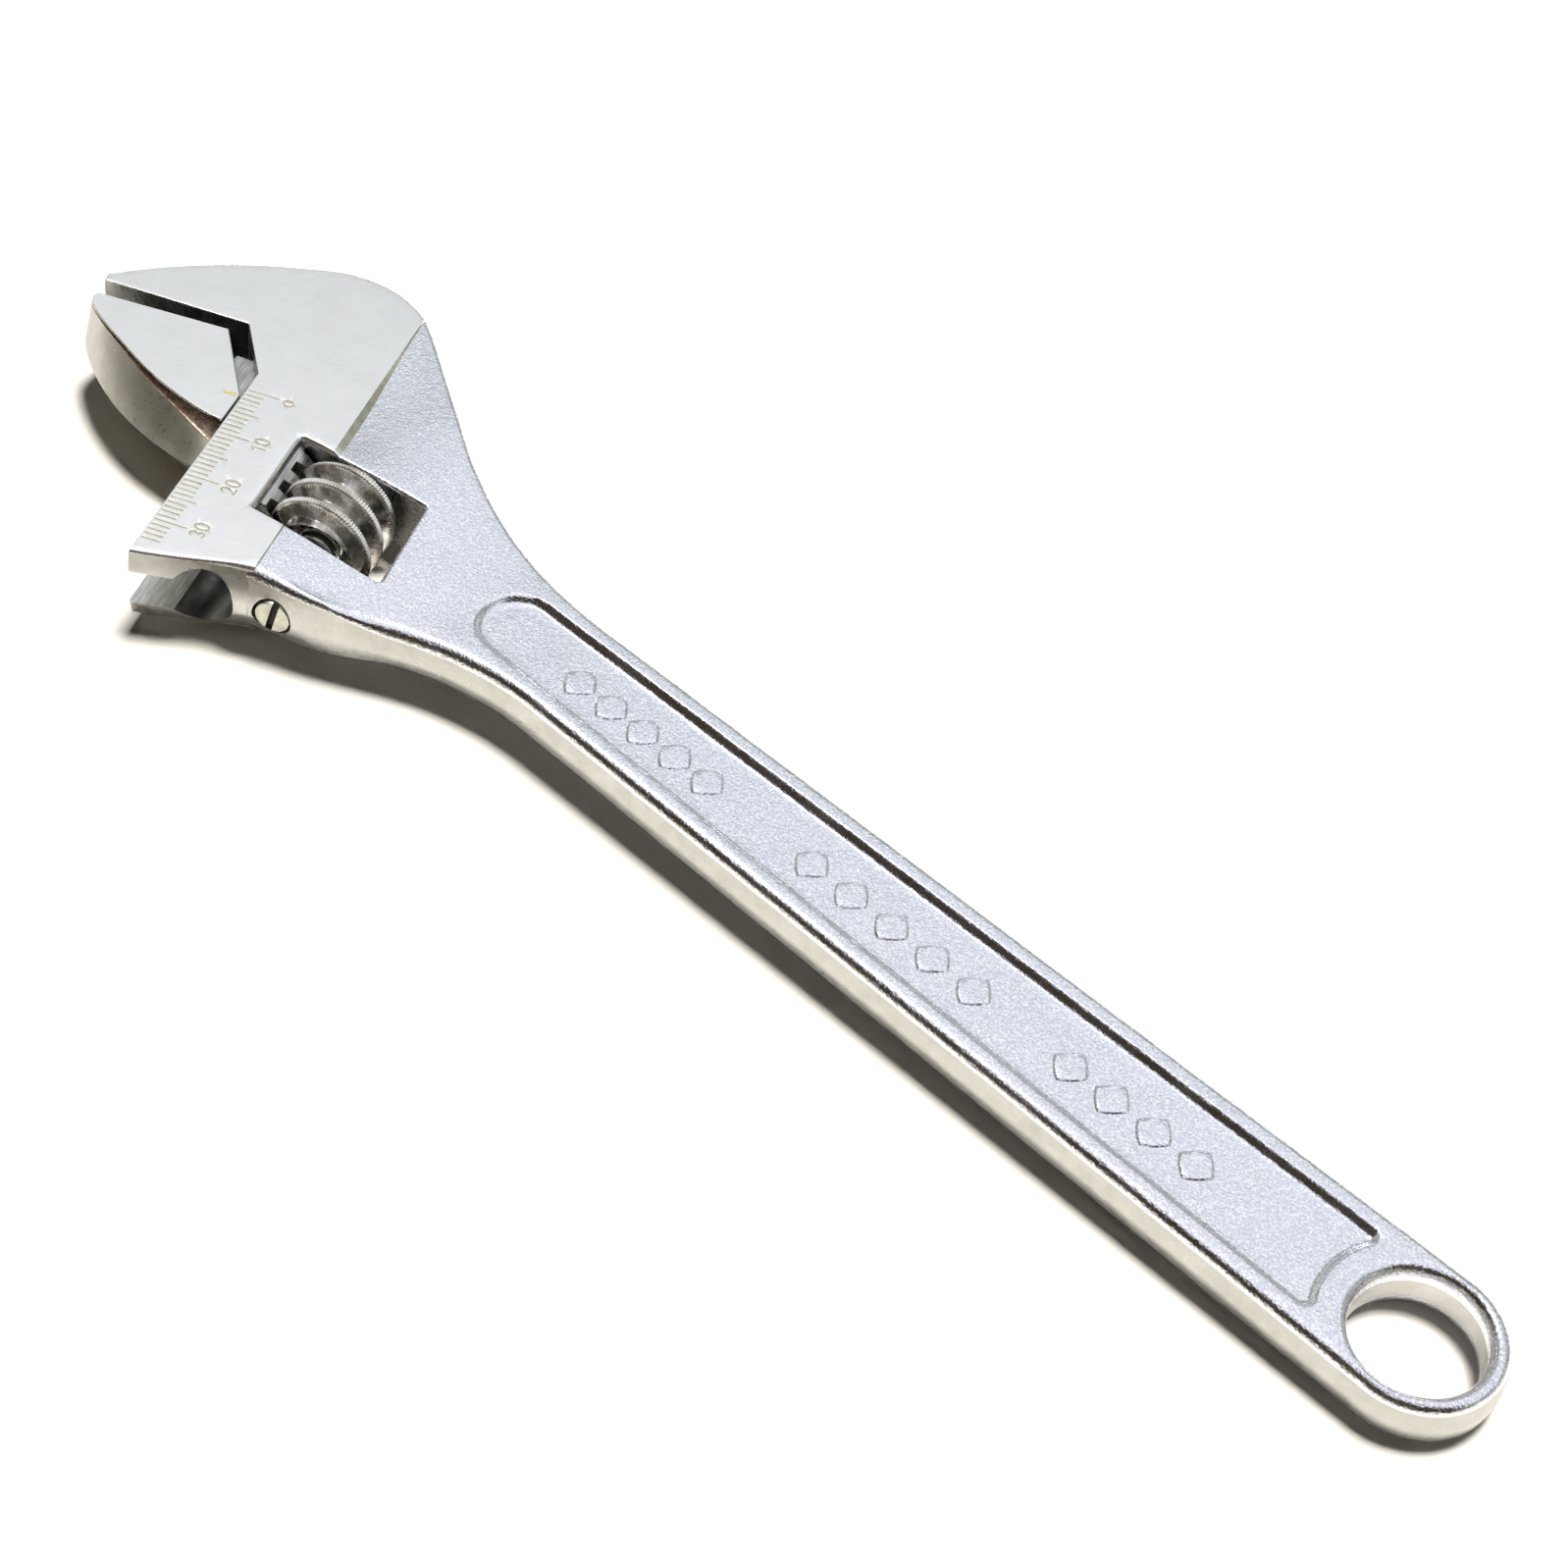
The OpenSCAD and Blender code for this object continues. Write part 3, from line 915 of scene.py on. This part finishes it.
def build_jaw(mats):
    """The sliding jaw with its web and its toothed rail."""
    obj = new_piece("sliding_jaw", *jaw_head_mesh())
    add_materials(obj, *mats)
    slim, v0, v1 = RAIL_R - RAIL_CHAMFER, *RAIL_V
    profile = [(slim, v0), (RAIL_R, v0 + RAIL_CHAMFER), (RAIL_R, v1 - RAIL_CHAMFER), (slim, v1)]
    verts, faces = lathe(profile, BORE_U, 120)
    rail = new_piece("rail", verts, faces, [CUT] * len(faces))
    add_materials(rail, *mats)
    for i in range(RACK_GROOVES):
        carve(rail, mats, rack_cutter(CREST_V - PITCH / 4 - i * PITCH))
    deep_web = ((BORE_U, -9.2), (JAW_EDGE_U + 1, -9.2), (JAW_EDGE_U + 1, 8), (BORE_U, 8))
    for web in (deep_web, ((-2, -9.2), (6, -9.8), (8, 0), (-2, 4))):
        carve(obj, mats, prism([head(*p) for p in web], -WEB_HALF, WEB_HALF), operation="UNION")
    boolean(obj, rail, "UNION")
    tidy_mesh(obj, 28)
    weigh_normals(obj)
    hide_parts("movable_jaw")
    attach(obj, "jaw")
    return obj


def build_index_mark(ink):
    """The painted index line on the jaw, by the scale."""
    pts = [(0.75, 1.4), (2.7, 1.5), (2.95, 1.75), (2.7, 2.0), (0.75, 2.05)]
    outline = [head(*p) for p in pts]
    verts, faces = prism(outline, JAW_TOP - 0.05, JAW_TOP + 0.015)
    obj = new_piece("index_mark", verts, faces)
    add_materials(obj, ink)
    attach(obj, "jaw")
    return obj


# ---- Worm, pin and spring ----

KNURLS = 104
# The thread's section: (v from the crest's middle, radius, share of the knurl's depth)
HALF_THREAD = ((0.15, WORM_R, 1), (0.42, WORM_R, 1), (0.52, 7.86, 0.6), (0.68, 7.35, 0), (0.92, 6.5, 0),
               (1.2, 5.72, 0), (1.45, 5.2, 0))
THREAD = [(-v, r, k) for v, r, k in HALF_THREAD[::-1]] + list(HALF_THREAD)
KNURL_DEPTH = 0.19
# The worm's whole section, as a closed ring round its axis: (radius, v)
WORM_SECTION = ((2.45, 9.95), (5.7, 9.95), (6.1, 10.1), (8.1, 10.75), (8.1, 20.4), (7.7, 20.85), (6.1, 21.85),
                (5.55, 22.05), (5.5, 22.3), (5.05, 22.42), (5.0, 22.95), (4.82, 23.1), (4.42, 23.1),
                (4.2, 22.9), (4.2, 18.4), (2.45, 18.4))


def helical_ridge_mesh():
    """The worm's left-handed thread with its knurled crest."""
    per_turn = KNURLS * 4
    turns_down, turns_up = 3, 2
    verts, m = [], len(THREAD)
    count = (turns_down + turns_up) * per_turn
    for i in range(count + 1):
        a = 2 * math.pi * (i / per_turn - turns_down)
        centre = CREST_V - PITCH / 4 + PITCH * a / (2 * math.pi)
        tooth = 0.5 - 0.5 * math.cos(KNURLS * a)
        for dv, r, k in THREAD:
            rad = r - KNURL_DEPTH * k * tooth
            verts.append((*head(WORM_U + rad * math.cos(a), centre + dv), rad * math.sin(a)))
    # Index 1 is the crest, which takes the lighter crest chrome: partly a painted highlight.
    mats = [1 if THREAD[j][2] * THREAD[(j + 1) % m][2] > 0 else 0 for j in range(m)]
    return verts, tube_faces(count + 1, m), mats * count + [0, 0]


def build_worm(mat, crest):
    """The knurled worm: its thread on a plain core, trimmed to the worm's whole section."""
    obj = new_piece("knurled_worm", *helical_ridge_mesh())
    add_materials(obj, mat, crest)
    core = new_piece("core", *lathe([(WORM_ROOT, 9.0), (WORM_ROOT, 24.0)], WORM_U, 208))
    boolean(obj, core, "UNION")
    whole = new_piece("whole", *lathe(WORM_SECTION, WORM_U, 208, closed=True))
    boolean(obj, whole, "INTERSECT")
    tidy_mesh(obj, 34)
    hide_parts("worm")
    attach(obj, "knurl")
    return obj


def build_pin(steel, slot_shade):
    """The worm's pin with its slotted head."""
    section = [(1.9, 2.1), (PIN_R, 2.5), (PIN_R, 31.6), (2.6, 31.6), (2.6, 35.3), (2.5, 35.5), (2.3, 35.6),
               (1.6, 35.62)]
    obj = new_piece("slotted_pin", *lathe(section, WORM_U, 72))
    # The slot's faces take the second, near-black material: painted shade in the slot.
    slot = new_piece("pin_slot", *pin_slot_box(5, 0.5, 34.5, 40), [1] * 6)
    for piece in (obj, slot):
        add_materials(piece, steel, slot_shade)
    boolean(obj, slot, "DIFFERENCE")
    tidy_mesh(obj, 30)
    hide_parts("worm_pin")
    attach(obj, "handle")
    return obj


def build_spring(mat):
    """The coil spring round the pin, with its ends drawn flat."""
    wire, turns, v0, v1 = 0.35, 4, 18.82, 23.22
    radius = PIN_R + wire + 0.2
    verts, ring, steps = [], 12, 48 * turns
    for i in range(steps + 1):
        t = i / steps
        a = 2 * math.pi * turns * t
        v = v0 + (v1 - v0) * smooth(0.5 + (t - 0.5) * 1.12)
        for j in range(ring):
            b = 2 * math.pi * j / ring
            rad = radius + wire * math.cos(b)
            verts.append((*head(WORM_U + rad * math.cos(a), v + wire * math.sin(b)), rad * math.sin(a)))
    obj = new_piece("coil_spring", verts, tube_faces(steps + 1, ring))
    add_materials(obj, mat)
    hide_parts("worm_spring")
    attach(obj, "handle")
    return obj


# ---- Materials ----

def fill_ramp(ramp, stops):
    """Sets a colour ramp's stops: (place, colour or grey)."""
    while len(ramp.elements) < len(stops):
        ramp.elements.new(0.5)
    for stop, (at, colour) in zip(ramp.elements, stops):
        stop.position = at
        stop.color = (*colour, 1) if isinstance(colour, tuple) else (colour, colour, colour, 1)


class Nodes:
    """A material's node tree, with short calls that build it up."""

    def __init__(self, name, **settings):
        self.material = bpy.data.materials.new(name)
        self.material.use_nodes = True
        self.tree = self.material.node_tree
        self.tree.nodes.clear()
        out = self.node("OutputMaterial")
        self.shader = self.node("BsdfPrincipled")
        self.join(self.shader, "BSDF", out, "Surface")
        self.where = self.node("TexCoord")
        for key, value in {"Metallic": 1.0, **settings}.items():
            self.shader.inputs[key.replace("_", " ")].default_value = value

    def join(self, a, out, b, into):
        """Links one node's output to another's input."""
        self.tree.links.new(a.outputs[out], b.inputs[into])

    def node(self, kind, **values):
        """A shader node with its inputs set."""
        made = self.tree.nodes.new("ShaderNode" + kind)
        for key, value in values.items():
            made.inputs[key].default_value = value
        return made

    def grain(self, size_mm, detail=3.0, rough=0.6, stretch=(1, 1, 1), turn=0.0):
        """Noise whose features are about size_mm across, longer where stretch is under 1, turned about z."""
        tex = self.node("TexNoise", Scale=1.0, Detail=detail, Roughness=rough)
        rotate = self.node("Mapping", Rotation=(0, 0, turn))
        mapping = self.node("Mapping", Scale=[s / MM / size_mm for s in stretch])
        self.join(self.where, "Object", rotate, "Vector")
        self.join(rotate, "Vector", mapping, "Vector")
        self.join(mapping, "Vector", tex, "Vector")
        return tex

    def ramp(self, grain, stops, into):
        """Turns a grain into a colour or a grey for one of the shader's sockets."""
        made = self.node("ValToRGB")
        fill_ramp(made.color_ramp, stops)
        self.join(grain, "Fac", made, "Fac")
        self.join(made, "Color", self.shader, into)

    def colour(self, grain, *stops):
        """Base colour, from (place, colour) stops."""
        self.ramp(grain, stops, "Base Color")

    def rough(self, grain, low, high):
        """Roughness, from a low and a high (place, value) stop."""
        self.ramp(grain, (low, high), "Roughness")

    def bumped(self, *layers):
        """The material, with bumps one on another from (grain, height in millimetres)."""
        below = None
        for grain, height in layers:
            made = self.node("Bump", Strength=1.0, Distance=height * MM)
            self.join(grain, "Fac", made, "Height")
            if below:
                self.join(below, "Normal", made, "Normal")
            below = made
        self.join(below, "Normal", self.shader, "Normal")
        return self.material


def forged_chrome():
    """Chrome over shot-blasted forging: bright and finely pebbled, its base colour flecked with white, a
    painted sparkle.
    """
    n = Nodes("forged_chrome")
    pebble, fine, patch = n.grain(1.0, 1.0, 0.5), n.grain(0.36, 1.0, 0.5), n.grain(6.0)
    sparkle_fleck = n.grain(0.3, 0.0, 0.5)
    # The ramp's white top is a painted sparkle: white flecks in the base colour.
    n.colour(sparkle_fleck, (0.3, (0.71, 0.73, 0.80)), (0.58, (0.83, 0.85, 0.93)), (0.68, (1.0, 1.0, 1.0)))
    n.rough(patch, (0.35, 0.17), (0.7, 0.27))
    return n.bumped((pebble, 0.04), (fine, 0.055))


def machined_chrome():
    """Chrome over a ground face: nearly smooth, with faint brushing and stains."""
    n = Nodes("machined_chrome")
    stain, fine = n.grain(4.5, 4.0, 0.6), n.grain(0.35, 2.0, 0.5)
    brush = n.grain(0.5, 2.0, 0.5, stretch=(0.06, 1.0, 1.0), turn=-HEAD_TURN)
    n.colour(stain, (0.3, (0.93, 0.93, 0.92)), (0.55, (0.97, 0.97, 0.97)), (0.8, (0.99, 0.99, 0.99)))
    n.rough(fine, (0.3, 0.26), (0.7, 0.31))
    return n.bumped((brush, 0.005), (stain, 0.02))


def wall_chrome_painted_shade():
    """The forged side walls: smoother than the faces, and darker than their chrome, a painted shade of the
    sides.
    """
    n = Nodes("wall_chrome_painted_shade")
    patch, fine = n.grain(3.0), n.grain(0.6, 3.0, 0.55)
    # Darker than the faces' chrome: painted shade on the walls, the hole's wall and the jaw's flank.
    n.colour(patch, (0.3, (0.50, 0.50, 0.48)), (0.7, (0.60, 0.60, 0.58)))
    n.rough(fine, (0.3, 0.26), (0.7, 0.40))
    return n.bumped((fine, 0.006), (patch, 0.025))


def step_painted_shade():
    """The step along the jaw's flank: chrome painted a dark reddish brown, a painted shade of the step."""
    n = Nodes("step_painted_shade")
    patch, fine = n.grain(1.6, 4.0, 0.6), n.grain(0.4, 2.0, 0.5)
    # Dark reddish brown: painted shade on the step under the jaw's flat face.
    n.colour(patch, (0.3, (0.15, 0.08, 0.06)), (0.5, (0.25, 0.17, 0.13)), (0.7, (0.38, 0.32, 0.22)))
    n.rough(fine, (0.3, 0.22), (0.7, 0.34))
    return n.bumped((fine, 0.03))


def band_chrome_painted_shade():
    """The sloping step between the forged neck and the machined head: chrome painted a darker olive, a
    painted shade of the slope.
    """
    n = Nodes("band_chrome_painted_shade")
    patch, fine = n.grain(1.4, 4.0, 0.6), n.grain(0.35, 2.0, 0.5)
    # Darker olive than the forged chrome: painted shade on the sloping step.
    n.colour(patch, (0.3, (0.52, 0.53, 0.41)), (0.7, (0.70, 0.71, 0.63)))
    n.rough(fine, (0.3, 0.26), (0.7, 0.38))
    return n.bumped((fine, 0.02))


def cut_steel():
    """Bored and milled faces: darker, with tool lines."""
    n = Nodes("cut_steel")
    lines = n.grain(0.28, 2.0, 0.55, stretch=(1.0, 0.06, 1.0), turn=-HEAD_TURN)
    n.colour(lines, (0.3, (0.36, 0.36, 0.35)), (0.7, (0.70, 0.71, 0.68)))
    n.rough(lines, (0.3, 0.24), (0.7, 0.40))
    return n.bumped((lines, 0.03))


def bored_steel_painted_shade():
    """The rail's bore and the milled faces between the jaws: dark grey, a painted shade, with faint rings
    from the drill.
    """
    n = Nodes("bored_steel_painted_shade")
    rings, patch = n.grain(0.5, 2.0, 0.5, stretch=(0.1, 1.0, 0.1), turn=-HEAD_TURN), n.grain(3.0)
    # Dark grey: painted shade inside the bore and in the gap between the jaws.
    n.colour(patch, (0.3, (0.22, 0.22, 0.225)), (0.7, (0.38, 0.38, 0.385)))
    n.rough(rings, (0.3, 0.28), (0.7, 0.42))
    return n.bumped((rings, 0.02))


def scale_ink():
    """The etched scale: dull olive."""
    n = Nodes("scale_ink", Metallic=0.0, Roughness=0.8, Specular_IOR_Level=0.1)
    patch = n.grain(0.7)
    n.colour(patch, (0.3, (0.17, 0.16, 0.08)), (0.7, (0.31, 0.29, 0.17)))
    return n.bumped((patch, 0.02))


def index_paint():
    """The jaw's index mark: yellow-olive paint with worn edges."""
    n = Nodes("index_paint", Metallic=0.0, Roughness=0.5)
    patch = n.grain(0.6)
    n.colour(patch, (0.35, (0.27, 0.22, 0.05)), (0.7, (0.50, 0.43, 0.16)))
    return n.bumped((patch, 0.03))


def worm_chrome():
    """Turned and plated worm: bright, with brown patches, and darker than its crest, a painted shade of the
    grooves.
    """
    n = Nodes("worm_chrome")
    patch, fine = n.grain(1.8, 4.0, 0.6), n.grain(0.4, 2.0, 0.5)
    # Brown patches, and darker overall than the crest: painted shade in the grooves.
    n.colour(patch, (0.3, (0.30, 0.25, 0.20)), (0.5, (0.62, 0.60, 0.57)), (0.66, (0.92, 0.92, 0.92)))
    n.rough(fine, (0.3, 0.14), (0.7, 0.28))
    return n.bumped((patch, 0.04))


def crest_chrome_highlight():
    """The worm's knurled crest: worn bright, and lighter than the flanks, partly a painted highlight, with
    grime between the teeth.
    """
    n = Nodes("crest_chrome_highlight")
    patch, fine = n.grain(2.5), n.grain(0.3, 2.0, 0.5)
    # Lighter than the flanks: worn metal and a painted highlight on the crest.
    n.colour(patch, (0.3, (0.66, 0.62, 0.56)), (0.6, (0.96, 0.96, 0.94)))
    n.rough(fine, (0.3, 0.24), (0.7, 0.4))
    return n.bumped((fine, 0.02))


def pin_steel():
    """The pin's head: dull grey steel with a greenish oil film."""
    n = Nodes("pin_steel")
    patch, fine = n.grain(1.4), n.grain(0.3, 2.0, 0.5)
    n.colour(patch, (0.3, (0.44, 0.45, 0.38)), (0.7, (0.64, 0.64, 0.54)))
    n.rough(fine, (0.3, 0.3), (0.7, 0.5))
    return n.bumped((patch, 0.05))


def slot_painted_shade():
    """The pin's slot, near black: painted shade in the slot."""
    n = Nodes("slot_painted_shade", Metallic=0.0, Roughness=0.6)
    patch = n.grain(0.5)
    # Near black: painted shade in the pin's slot.
    n.colour(patch, (0.35, (0.008, 0.007, 0.006)), (0.75, (0.05, 0.045, 0.035)))
    return n.bumped((patch, 0.05))


def spring_steel():
    """Bright drawn wire."""
    n = Nodes("spring_steel")
    patch = n.grain(0.5, 3.0, 0.5)
    n.colour(patch, (0.3, (0.72, 0.72, 0.72)), (0.7, (0.88, 0.88, 0.88)))
    n.rough(patch, (0.3, 0.15), (0.7, 0.3))
    return n.bumped((patch, 0.01))


def floor_paper():
    """The pale studio floor."""
    n = Nodes("floor_paper", Metallic=0.0, Roughness=0.9, Specular_IOR_Level=0.1)
    patch = n.grain(60.0, 2.0, 0.5)
    n.colour(patch, (0.3, (0.68, 0.65, 0.59)), (0.7, (0.69, 0.66, 0.60)))
    return n.material


# ---- Stage, light and camera ----

FLOOR_REACH = 3000.0
FLOOR_GAP = 0.02


def build_floor(mat):
    """The wrench lies on its worm and on the end of its handle, so the floor leans a little."""
    x0, z0, x1, z1 = -11.4, -HANDLE_TOP, head(WORM_U, 15)[0], -WORM_R
    slope = (z1 - z0) / (x1 - x0)
    corners = [(i * FLOOR_REACH, j * FLOOR_REACH) for i, j in ((-1, -1), (1, -1), (1, 1), (-1, 1))]
    verts = [(x, y, z0 + slope * (x - x0) - FLOOR_GAP) for x, y in corners]
    obj = new_piece("floor", verts, [(0, 1, 2, 3)])
    add_materials(obj, mat)


def add_lamp(name, kind, at, towards):
    """A lamp at one place, turned towards another, in metres."""
    obj = bpy.data.objects.new(name, bpy.data.lights.new(name, kind))
    obj.location = at
    obj.rotation_euler = (Vector(towards) - Vector(at)).to_track_quat("-Z", "Y").to_euler()
    bpy.context.scene.collection.objects.link(obj)
    return obj


def build_lights():
    """A distant key, so that the floor is evenly lit to its edges, and a small lamp that only glints."""
    key = add_lamp("key", "SUN", (0.13, -0.26, 1.1), (0.12, 0, 0))
    key.data.energy, key.data.angle = 6.6, math.radians(18)
    key.data.color = (1.0, 0.99, 0.98)
    key.visible_glossy = False
    glint = add_lamp("glint", "AREA", (0.62, -0.05, 1.0), (0.2, 0, 0))
    glint.data.size, glint.data.energy = 0.07, 2.2
    glint.visible_diffuse = False


# The side that the dark room is on, and how far round and how far up it reaches
ROOM_SIDE = (-0.15, 0.99, 0)
ROOM_EDGE = ((0.0, 0.0), (0.18, 1.0))
ROOM_HEIGHT = ((0.0, 1.0), (0.80, 1.0), (0.92, 0.0))
# Colours from the horizon to straight above, on the studio's side and on the room's
STUDIO_SKY = ((0.0, (0.82, 0.81, 0.78)), (0.13, (0.76, 0.75, 0.71)), (0.24, (0.34, 0.34, 0.29)),
              (0.46, (0.36, 0.37, 0.33)), (0.54, (0.48, 0.49, 0.48)), (0.63, (0.72, 0.76, 0.78)),
              (0.77, (0.96, 0.96, 1.0)), (1.0, (0.96, 0.96, 1.0)))
ROOM_SKY = ((0.0, (0.60, 0.56, 0.45)), (0.12, (0.48, 0.44, 0.34)), (0.19, (0.20, 0.16, 0.11)),
            (0.25, (0.05, 0.036, 0.022)), (1.0, (0.035, 0.027, 0.02)))


def build_world():
    """A white studio on the far side and above, and a dark, warm room behind the camera, for gloss alone."""
    world = bpy.data.worlds.new("studio")
    bpy.context.scene.world = world
    world.use_nodes = True
    world.cycles_visibility.diffuse = False
    nodes, links = world.node_tree.nodes, world.node_tree.links
    nodes.clear()
    coord, split = nodes.new("ShaderNodeTexCoord"), nodes.new("ShaderNodeSeparateXYZ")
    links.new(coord.outputs["Generated"], split.inputs[0])

    def sky(source, stops):
        """A colour ramp over a direction's measure."""
        ramp = nodes.new("ShaderNodeValToRGB")
        fill_ramp(ramp.color_ramp, stops)
        links.new(source, ramp.inputs["Fac"])
        return ramp.outputs["Color"]

    towards_room = nodes.new("ShaderNodeVectorMath")
    towards_room.operation = "DOT_PRODUCT"
    towards_room.inputs[1].default_value = ROOM_SIDE
    links.new(coord.outputs["Generated"], towards_room.inputs[0])
    in_room = nodes.new("ShaderNodeMath")
    in_room.operation = "MULTIPLY"
    links.new(sky(towards_room.outputs["Value"], ROOM_EDGE), in_room.inputs[0])
    links.new(sky(split.outputs["Z"], ROOM_HEIGHT), in_room.inputs[1])
    mix = nodes.new("ShaderNodeMix")
    mix.data_type = "RGBA"
    links.new(in_room.outputs[0], mix.inputs["Factor"])
    links.new(sky(split.outputs["Z"], STUDIO_SKY), mix.inputs[6])
    links.new(sky(split.outputs["Z"], ROOM_SKY), mix.inputs[7])
    back, out = nodes.new("ShaderNodeBackground"), nodes.new("ShaderNodeOutputWorld")
    back.inputs["Strength"].default_value = 1.0
    links.new(mix.outputs[2], back.inputs["Color"])
    links.new(back.outputs[0], out.inputs["Surface"])


# The camera's place in millimetres, and its heading, dip and roll in degrees, as the photo's view shows them
CAMERA_AT = (-61.66, 221.93, 305.43)
CAMERA_HEADING = -53.27
CAMERA_DIP = 46.656
CAMERA_ROLL = 9.203
LENS, SENSOR = 72.4, 36.0


def build_camera():
    """The camera at the photo's angle."""
    data = bpy.data.cameras.new("camera")
    data.lens, data.sensor_width = LENS, SENSOR
    data.clip_start, data.clip_end = 0.01, 20
    heading, dip = math.radians(CAMERA_HEADING), math.radians(CAMERA_DIP)
    level = math.cos(dip)
    look = Vector((level * math.cos(heading), level * math.sin(heading), -math.sin(dip)))
    turn = look.to_track_quat("-Z", "Y").to_matrix().to_4x4()
    roll = Matrix.Rotation(math.radians(CAMERA_ROLL), 4, "Z")
    obj = bpy.data.objects.new("camera", data)
    obj.matrix_world = Matrix.Translation(Vector(CAMERA_AT) * MM) @ turn @ roll
    bpy.context.scene.collection.objects.link(obj)
    bpy.context.scene.camera = obj


def main():
    """Builds the wrench, and then the stage around it."""
    metals = [forged_chrome(), machined_chrome(), wall_chrome_painted_shade(), cut_steel(), scale_ink(), step_painted_shade(),
              bored_steel_painted_shade(), band_chrome_painted_shade()]
    build_body(metals)
    build_jaw(metals)
    build_index_mark(index_paint())
    build_worm(worm_chrome(), crest_chrome_highlight())
    build_pin(pin_steel(), slot_painted_shade())
    build_spring(spring_steel())
    build_floor(floor_paper())
    build_world()
    build_lights()
    build_camera()
    bpy.context.scene.view_settings.view_transform = "Standard"


main()
